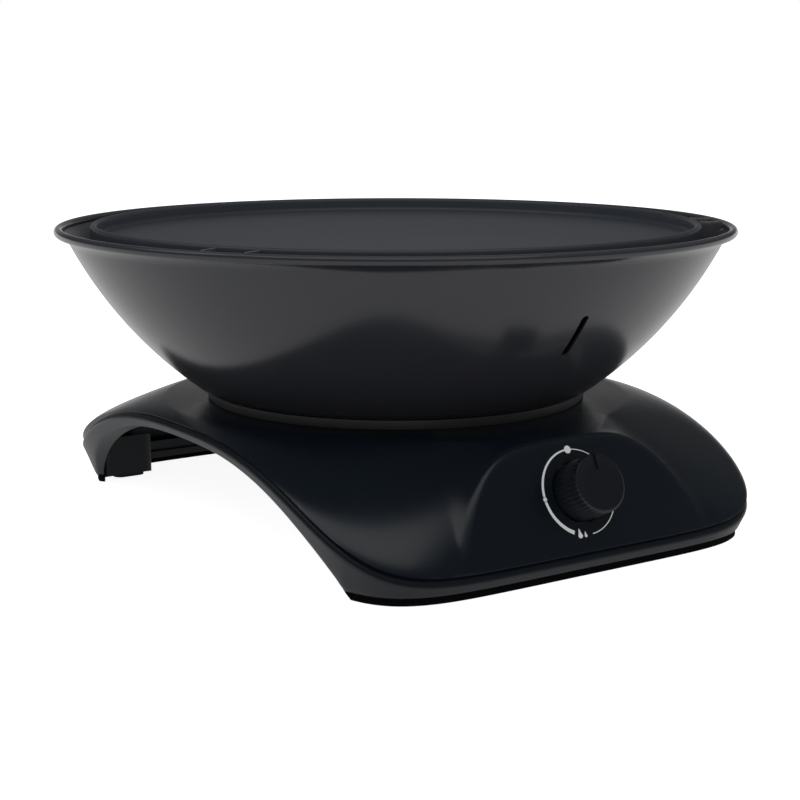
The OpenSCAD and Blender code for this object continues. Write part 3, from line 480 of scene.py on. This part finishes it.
def shell_point(phi, k):
    """From the rounded edge over the top to the opening under the bowl, then back inside to the lip."""
    edge = outline_radius(phi)
    c, s = math.cos(phi), math.sin(phi)
    if k < len(SHELL_EDGE):
        inset, above = SHELL_EDGE[k]
        r = edge - inset
        return r * c, r * s, seam_height(r * s) + above
    if k <= OUTER_ROWS:
        r = edge + (FLAT_R - edge) * ((k - 1) / (OUTER_ROWS - 1)) ** OUTER_CROWD
        return r * c, r * s, max(top_height(r * c, r * s), seam_height(r * s) + EDGE_TOP)
    if k <= OUTER_ROWS + 2:
        return OPEN_R * c, OPEN_R * s, TOP_Z - (0.0, SHELL_WALL)[k - OUTER_ROWS - 1]
    k -= OUTER_ROWS + 3
    if k < INNER_ROWS:
        r = FLAT_R + (edge - FLAT_R) * (k / INNER_ROWS) ** INNER_CROWD
        return Vector((r * c, r * s, top_height(r * c, r * s))) - SHELL_WALL * top_normal(r * c, r * s)
    r = edge - SHELL_WALL
    return r * c, r * s, seam_height(edge * s) - SHELL_LIP


def base_shell():
    bm = spun_to(OUTER_ROWS + 3 + INNER_ROWS + 1, SHELL_STEPS, shell_point)
    boss_top = TOP_Z - SHELL_WALL / 2
    lugs = [at(sx * LUG_X, sy * LUG_Y, LUG_TOP) for sx, sy in CORNERS]
    bosses = [rod(LUG_BOSS_R, boss_top - LUG_TOP, lug) for lug in lugs]
    bosses += [rod(BRACKET_BOSS_R, boss_top - BRACKET_TOP, at(x, y, BRACKET_TOP)) for x, y in BRACKET_SCREWS]
    turns = [Matrix.Rotation(math.radians(90 + 120 * i), 4, "Z") for i in range(3)]
    valve_bosses = [PANEL @ turn @ at(VALVE_BOSS_AT, 0, VALVE_BOSS_FROM) for turn in turns]
    bosses += [rod(VALVE_BOSS_R, VALVE_BOSS_LEN, boss) for boss in valve_bosses]
    bm = combine(bm, gather(bosses), "UNION")
    bm = combine(bm, rod(WELL_R, WELL_DEEP, PANEL @ at(0, 0, WELL_FROM), 128), "DIFFERENCE")
    return keep_piece("base_shell", bm, SHELL_BLACK, "root", "shell_plastic", "base_shell", sharp=40.0)


# Edge band from its lip to where it is widest: distance in from the outline, drop from the lip
BAND_LIP = ((2.0, 0.0), (1.6, 0.3), (1.1, 1.0), (0.5, 2.2), (0.1, 3.4), (0.0, 4.2))
# From there it leans in to its foot: further distance in, and share of the way down
BAND_FALL = ((0.0, 0.12), (0.0, 0.3), (0.0, 0.5), (0.0, 0.7), (0.05, 0.86), (0.3, 0.95), (0.9, 1.0))
BAND_LEAN, LEAN_MOST, BAND_FOOT, BAND_FULL = 0.38, 8.0, 5.4, 9.0
LIP_BACK, TONGUE_LEAST = LIP_W + 1.1, 0.02
# The rest of it: a ledge behind the lip, with a tongue behind the seam at the front and rear
BAND_BACK = ((LIP_BACK, "lip"), (LIP_BACK, "ledge"), (TONGUE_OUT, "ledge"), (TONGUE_OUT, "tongue"),
             (TONGUE_IN, "tongue"), (TONGUE_IN, "ledge"), (BAND_T, "ledge"), (BAND_T, "foot"))
BAND_ROWS = len(BAND_FALL) + len(BAND_LIP) + len(BAND_BACK)


def band_levels(y):
    """Heights of the band's lip, widest line and foot, and how far the foot lies in."""
    lip, foot = seam_height(y) - SEAM_GAP, max(arch_height(y), BAND_FOOT)
    wide = lip - BAND_LIP[-1][1] * min((lip - foot) / BAND_FULL, 1.0)
    return lip, wide, foot, min(BAND_LEAN * (wide - foot), LEAN_MOST)


def band_point(phi, k):
    """Up the outside from the foot to the lip, then down behind it."""
    y = outline_radius(phi) * math.sin(phi)
    lip, wide, foot, lean = band_levels(y)
    if k < len(BAND_FALL):
        more, share = BAND_FALL[len(BAND_FALL) - 1 - k]
        inset, z = lean * share + more, wide + (foot - wide) * share
    elif k < len(BAND_FALL) + len(BAND_LIP):
        inset, drop = BAND_LIP[len(BAND_FALL) + len(BAND_LIP) - 1 - k]
        z = lip + (wide - lip) * drop / BAND_LIP[-1][1]
    else:
        inset, level = BAND_BACK[k - len(BAND_FALL) - len(BAND_LIP)]
        ledge = seam_height(y) - LEDGE_DROP
        share = min(max((abs(y) - TONGUE_FROM) / TONGUE_RAMP, TONGUE_LEAST), 1.0)
        rise = share * (LEDGE_DROP + TONGUE_RISE)
        z = {"foot": foot, "lip": lip, "ledge": ledge, "tongue": ledge + rise}[level]
    r = outline_radius(phi, inset)
    return r * math.cos(phi), r * math.sin(phi), z


# Cross-section of the skirt below the band, a near-black piece that is painted contact shadow under the band's
# undercut: distance in from the band's foot, share of the way down
SKIRT = ((0.9, 0.0), (1.0, 0.9), (1.6, 1.0), (5.0, 1.0), (5.0, 0.0))
SKIRT_TOP, SKIRT_ABOVE, SKIRT_BELOW = 1.0, 0.3, 0.8


def skirt_point(phi, k):
    """It reaches down to the table between the arches and stays hidden behind the band along them."""
    y = outline_radius(phi) * math.sin(phi)
    foot, lean = band_levels(y)[2:]
    arch = arch_height(y)
    out = min(max((2 * FOOT_GAP - arch) / FOOT_GAP, 0.0), 1.0)
    low = arch + SKIRT_ABOVE - (SKIRT_ABOVE + SKIRT_BELOW) * out
    more, share = SKIRT[k]
    r = outline_radius(phi, lean + more)
    return r * math.cos(phi), r * math.sin(phi), foot + SKIRT_TOP + (low - foot - SKIRT_TOP) * share


# The foot blocks: share of their width that is rounded, cuts along each edge, how soon the rounding
# below them ends, how far they reach into the band, and their least width
FOOT_EDGE, FOOT_CUTS, FOOT_TAPER, FOOT_OVERLAP, FOOT_LEAST = 0.18, 5, 3, 1.0, 0.5


def corner_foot(sx, sy):
    """A foot block inside the outline at one corner, with its inner edges rounded."""
    bm = block((1000.0, 1000.0, 1000.0), Matrix.Translation((0.5, 0.5, 0.5)))
    upright = [e for e in bm.edges if abs(e.verts[0].co.z - e.verts[1].co.z) > 0.5
               and min(e.verts[0].co.x, e.verts[0].co.y) < 0.5]
    bmesh.ops.bevel(bm, geom=upright, affect="EDGES", offset=FOOT_EDGE, segments=6, profile=0.5, material=-1)
    level = [e for e in bm.edges if abs(e.verts[0].co.z - e.verts[1].co.z) < 0.01]
    bmesh.ops.subdivide_edges(bm, edges=level, cuts=FOOT_CUTS, use_grid_fill=True)
    inset = BAND_T - FOOT_OVERLAP
    reach = (HALF_D - inset) * (1 - (FOOT_X / (HALF_W - inset)) ** SQUARENESS) ** (1 / SQUARENESS)
    for vert in bm.verts:
        y = FOOT_Y + vert.co.y * (reach - FOOT_Y)
        side = (HALF_W - inset) * max(1 - (y / (HALF_D - inset)) ** SQUARENESS, 0.0) ** (1 / SQUARENESS)
        x = FOOT_X + vert.co.x * max(side - FOOT_X, FOOT_LEAST)
        low = FOOT_GAP + FOOT_ROUND * max(1 - vert.co.y * FOOT_TAPER, 0.0) ** 2
        z = low + vert.co.z * (seam_height(y) - LEDGE_DROP - low)
        vert.co = Vector((sx * x, sy * y, z)) * MM
    bmesh.ops.remove_doubles(bm, verts=bm.verts, dist=1e-6)
    bmesh.ops.recalc_face_normals(bm, faces=bm.faces)
    return bm


def base_frame():
    bm = spun_to(BAND_ROWS, BAND_STEPS, band_point)
    for sx, sy in CORNERS:
        bm = combine(bm, corner_foot(sx, sy), "UNION")
    places = [at(sx * (LUG_X + LUG_SHIFT), sy * LUG_Y, LUG_TOP - LUG_T / 2) for sx, sy in CORNERS]
    bm = combine(bm, gather([block((LUG_LEN, LUG_W, LUG_T), place) for place in places]), "UNION")
    return keep_piece("base_frame", bm, FRAME_BLACK, "root", "frame_plastic", "base_frame", sharp=40.0)


# The skirt's near-black colour is painted shadow in the gap under the band
def base_skirt():
    bm = spun_to(len(SKIRT), BAND_STEPS, skirt_point)
    return keep_piece("base_skirt", bm, SKIRT_BLACK_AND_SHADE, "root", "frame_plastic", sharp=40.0)


# Bowl

def bezier(p, q, r, steps):
    """Points on a curve from p to r that is drawn toward q."""
    shares = [i / steps for i in range(steps + 1)]
    return [tuple((1 - t) ** 2 * p + 2 * t * (1 - t) * q + t * t * r) for t in shares]


# The wall's ends, the points that draw its two bends, and where the sheet meets the bead
WALL_FOOT = Vector((FLOOR_R + 13.5, FLOOR_Z + 5.7))
WALL_HEAD = Vector((BEAD_AT.x + BEAD_R - 10.1, BEAD_AT.y - 8.2))
FLOOR_BEND = Vector((FLOOR_R + 6.3, FLOOR_Z))
HEAD_BEND = WALL_HEAD + Vector((2.1, 3.4))
BEAD_MEET = BEAD_AT + Vector((-1.4, -2.4))
WALL_RUN = WALL_HEAD - WALL_FOOT
WALL_OUT = Vector((WALL_RUN.y, -WALL_RUN.x)).normalized()


def wall_at(t):
    """A point on the bowl's bulging wall, at a share of the way up."""
    return WALL_FOOT + t * WALL_RUN + 4 * BULGE * t * (1 - t) * WALL_OUT


def bowl_path():
    """The bowl's outside from the hole in its floor to the underside of the bead."""
    path = [(BOWL_HOLE, FLOOR_Z), (FLOOR_MID, FLOOR_Z)]
    path += bezier(Vector((FLOOR_R, FLOOR_Z)), FLOOR_BEND, WALL_FOOT, 10)
    path += [tuple(wall_at(i / WALL_STEPS)) for i in range(1, WALL_STEPS + 1)]
    path += bezier(WALL_HEAD, HEAD_BEND, BEAD_MEET, 12)[1:]
    return [Vector(p) for p in path]


def inside_of(path, wall):
    """The same path moved inwards by the sheet's thickness."""
    inside = []
    for i, point in enumerate(path):
        along = (path[min(i + 1, len(path) - 1)] - path[max(i - 1, 0)]).normalized()
        inside.append(point + wall * Vector((-along.y, along.x)))
    return inside


def slot_cutter():
    """A bar with round ends, across the bowl's wall at the lighting slot."""
    t = (SLOT_Z - WALL_FOOT.y) / WALL_RUN.y
    t -= (wall_at(t).y - SLOT_Z) / WALL_RUN.y
    place, run = wall_at(t), wall_at(t + 0.02) - wall_at(t - 0.02)
    lean = Matrix.Rotation(math.pi - math.atan2(run.y, run.x), 4, "Y")
    slot = Matrix.Rotation(-math.pi / 2, 4, "Z") @ at(place.x, 0, place.y) @ lean
    flat = slot.inverted()
    bm = block((SLOT_LEN, SLOT_W, SLOT_CUT), slot)
    ends = [e for e in bm.edges if abs((flat @ e.verts[0].co - flat @ e.verts[1].co).z) > 0.01]
    bmesh.ops.bevel(bm, geom=ends, affect="EDGES", offset=SLOT_W * MM * SLOT_ROUND, segments=8, profile=0.5,
                    material=-1)
    return bm


def bead_angle(point):
    """Where a point lies round the bead, in degrees."""
    return math.degrees(math.atan2(point.y - BEAD_AT.y, point.x - BEAD_AT.x))


def bowl():
    outer = bowl_path()
    inner = inside_of(outer, BOWL_WALL)
    outer = [p for p in outer if (p - BEAD_AT).length > BEAD_R]
    inner = [p for p in inner if (p - BEAD_AT).length > BEAD_R]
    first, last = bead_angle(outer[-1]) + BEAD_JOIN, bead_angle(inner[-1]) % 360 - BEAD_JOIN
    bead = arc(BEAD_AT, BEAD_R, first, last, 28)
    bm = spun([tuple(p) for p in outer] + bead + [tuple(p) for p in reversed(inner)], ROUND_STEPS)
    bm = combine(bm, slot_cutter(), "DIFFERENCE")
    return keep_piece("bowl", bm, ENAMEL, "root", "bowl_enamel", "bowl", sharp=50.0)


def cooking_plate():
    """A flat plate with a rounded underside edge and a raised rim."""
    lip, rim = RIM_W / 2, PLATE_R - RIM_W
    under = PLATE_FACE - PLATE_T
    points = [(0.0, under), (UNDER_RING, under)]
    points += arc((PLATE_R - PLATE_T, PLATE_FACE), PLATE_T, -90, 0, 10)
    points += arc((PLATE_R - lip, PLATE_TOP - lip), lip, 0, 180, 16)
    points += arc((rim - RIM_FILLET, PLATE_FACE + RIM_FILLET), RIM_FILLET, 0, -90, 10)
    points += [(ring, PLATE_FACE) for ring in FACE_RINGS]
    bm = spun(points, ROUND_STEPS, closed=False)
    return keep_piece("cooking_plate", bm, NON_STICK, "plate", "plate_coating", "cooking_plate", sharp=50.0)


# Knob and dial

RIDGES, RIDGE_STEPS, RIDGE_DEPTH, RIDGE_FROM_R, RIDGE_FROM_Z = 40, 8, 0.4, 17.5, 2.0
STEM_R, STEM_DEEP, HUB_R, HUB_FACE = 4.02, 12.7, 7.5, 0.5
HOLLOW_R, HOLLOW_Z = 15.5, 7.0
POINTER, POINTER_AT, POINTER_ABOVE = (2.4, 10.2, 3.0), 13.7, 0.3


def control_knob():
    """A hollow knob with a grip of fine ridges, a dished face and a pointer groove."""
    outer = [(HOLLOW_R, -KNOB_BACK), (17.7, -KNOB_BACK), (18.3, -2.1), (KNOB_R, -1.5), (KNOB_R, 1.6)]
    outer += [(KNOB_R, 2.6), (KNOB_R, 8.0), (KNOB_R, 14.0), (KNOB_R, KNOB_LEN - 1.8)]
    outer += [(18.35, KNOB_LEN - 1.0), (17.9, KNOB_LEN - 0.4), (17.2, KNOB_LEN - 0.1), (16.4, KNOB_LEN)]
    outer += [(15.8, KNOB_LEN - 0.15), (10.0, KNOB_LEN - 0.25), (0.0, KNOB_LEN - 0.3)]
    inner = [(HOLLOW_R, HOLLOW_Z), (HUB_R, HOLLOW_Z), (HUB_R, HUB_FACE), (STEM_R, HUB_FACE)]
    inner += [(STEM_R, STEM_DEEP), (0.0, STEM_DEEP)]
    bm = spun(list(reversed(outer)) + inner, RIDGES * RIDGE_STEPS, closed=False)
    for vert in bm.verts:
        r, z = math.hypot(vert.co.x, vert.co.y) / MM, vert.co.z / MM
        if r > RIDGE_FROM_R and z > RIDGE_FROM_Z:
            cut = 0.5 + 0.5 * math.cos(RIDGES * math.atan2(vert.co.y, vert.co.x))
            shrink = 1 - RIDGE_DEPTH * cut ** 3 / r
            vert.co.x *= shrink
            vert.co.y *= shrink
    bm = combine(bm, block(POINTER, at(0, POINTER_AT, KNOB_LEN + POINTER_ABOVE)), "DIFFERENCE")
    bm.transform(PANEL)
    return keep_piece("control_knob", bm, KNOB_BLACK, "knob", "knob_plastic", "control_knob", sharp=40.0)


# The dial, in degrees anticlockwise from the top: arcs with the width at each end in millimetres,
# dots and flames with their radius
DIAL_ARCS = ((5, 89, 1.0, 1.6), (96, 154, 1.6, 2.4), (184, 355, 0.6, 0.5))
DIAL_DOTS = ((0, 2.45), (92.5, 1.35))
DIAL_FLAMES = ((163, 1.7), (172, 1.05))
# A flame's foot below its place, how much it narrows, how far its tip is drawn up, and how sharply
FLAME_DROP, FLAME_NARROW, FLAME_TALL, FLAME_POINT = 0.5, 0.55, 1.5, 2.2


def dial_band(start, end, width_start, width_end):
    """A printed arc on the panel that grows from one width to another, angles in degrees from the top."""
    sweep = math.radians(end - start)
    # A section 1 mm wide, which is then spread to the width that its angle asks for
    inside, outside = DIAL_R - 0.5, DIAL_R + 0.5
    section = [(inside, PRINT_Z), (outside, PRINT_Z), (outside, PRINT_TOP), (inside, PRINT_TOP)]
    bm = spun(section, max(int(end - start) // 2, 4), sweep=sweep)
    bmesh.ops.holes_fill(bm, edges=bm.edges, sides=4)
    for vert in bm.verts:
        share = (math.atan2(vert.co.y, vert.co.x) % FULL_TURN) / sweep
        width = width_start + (width_end - width_start) * (share if share < 1.5 else 0.0)
        r = math.hypot(vert.co.x, vert.co.y)
        spread = (DIAL_R * MM + (r - DIAL_R * MM) * width) / r
        vert.co.x *= spread
        vert.co.y *= spread
    bm.transform(Matrix.Rotation(math.radians(90 + start), 4, "Z"))
    bmesh.ops.recalc_face_normals(bm, faces=bm.faces)
    return bm


def dial_spot(turn, radius):
    where = Matrix.Rotation(math.radians(90 + turn), 4, "Z") @ at(DIAL_R, 0, PRINT_Z)
    return rod(radius, PRINT_TOP - PRINT_Z, where, 40)


def dial_flame(turn, size):
    """A flame mark, upright on the panel: a round foot drawn up to a point."""
    centre = Matrix.Rotation(math.radians(90 + turn), 4, "Z") @ Vector((DIAL_R * MM, 0, 0))
    bm = rod(size, PRINT_TOP - PRINT_Z, at(centre.x / MM, centre.y / MM - FLAME_DROP * size, PRINT_Z), 40)
    for vert in bm.verts:
        x, y = vert.co.x - centre.x, vert.co.y - centre.y + FLAME_DROP * size * MM
        if y > 0:
            pull = y / (size * MM)
            vert.co.x = centre.x + x * (1 - FLAME_NARROW * pull)
            vert.co.y += FLAME_TALL * size * MM * pull ** FLAME_POINT
    return bm


def dial_marks():
    marks = [dial_band(*mark) for mark in DIAL_ARCS]
    marks += [dial_spot(*mark) for mark in DIAL_DOTS]
    marks += [dial_flame(*mark) for mark in DIAL_FLAMES]
    bm = gather(marks)
    bm.transform(PANEL)
    return keep_piece("dial_marks", bm, PRINT, "root", "dial_print", "dial_marks", sharp=30.0)


# Finishes of the solids that stay as they are
NODE_FINISHES = (
    (RUBBER, ("foot_pads",)),
    # The heat shield's black is painted shade in the gap under the bowl; the spacer ring's black is its paint
    (BLACK_PAINT_AND_SHADE, ("spacer_ring", "heat_shield")),
    (KNOB_BLACK, ("knob_well",)),
    (BRIGHT_STEEL, ("plate_supports", "return_spring", "valve_plate", "inlet_bracket")),
    (BURNER_STEEL, ("burner_body", "burner_cap", "mixing_tube", "burner_bracket")),
    (ZINC, ("frame_screws", "bowl_screws", "bowl_nuts", "burner_screws", "burner_nuts", "valve_cap",
            "valve_stem", "plate_screws", "bracket_screws")),
    (BRASS, ("jet_holder", "jet", "pipe_nuts", "valve_body", "valve_plug", "valve_nut", "inlet_fitting",
             "inlet_nut")),
    (ALUMINIUM, ("burner_pipe", "feed_pipe")),
)

bpy.context.scene.view_settings.view_transform = "Standard"
add_camera()
studio_world()
add_floor()
add_lamp("top_softbox", (-0.38, -0.56, 1.9), (2.4, 1.0), 6.0)
add_lamp("left_softbox", (-1.28, 0.87, 1.9), (1.2, 1.0), 3.2)

base_shell()
base_frame()
base_skirt()
bowl()
cooking_plate()
control_knob()
dial_marks()
for material, names in NODE_FINISHES:
    for name in names:
        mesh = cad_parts[name].data
        mesh.materials.clear()
        mesh.materials.append(material)
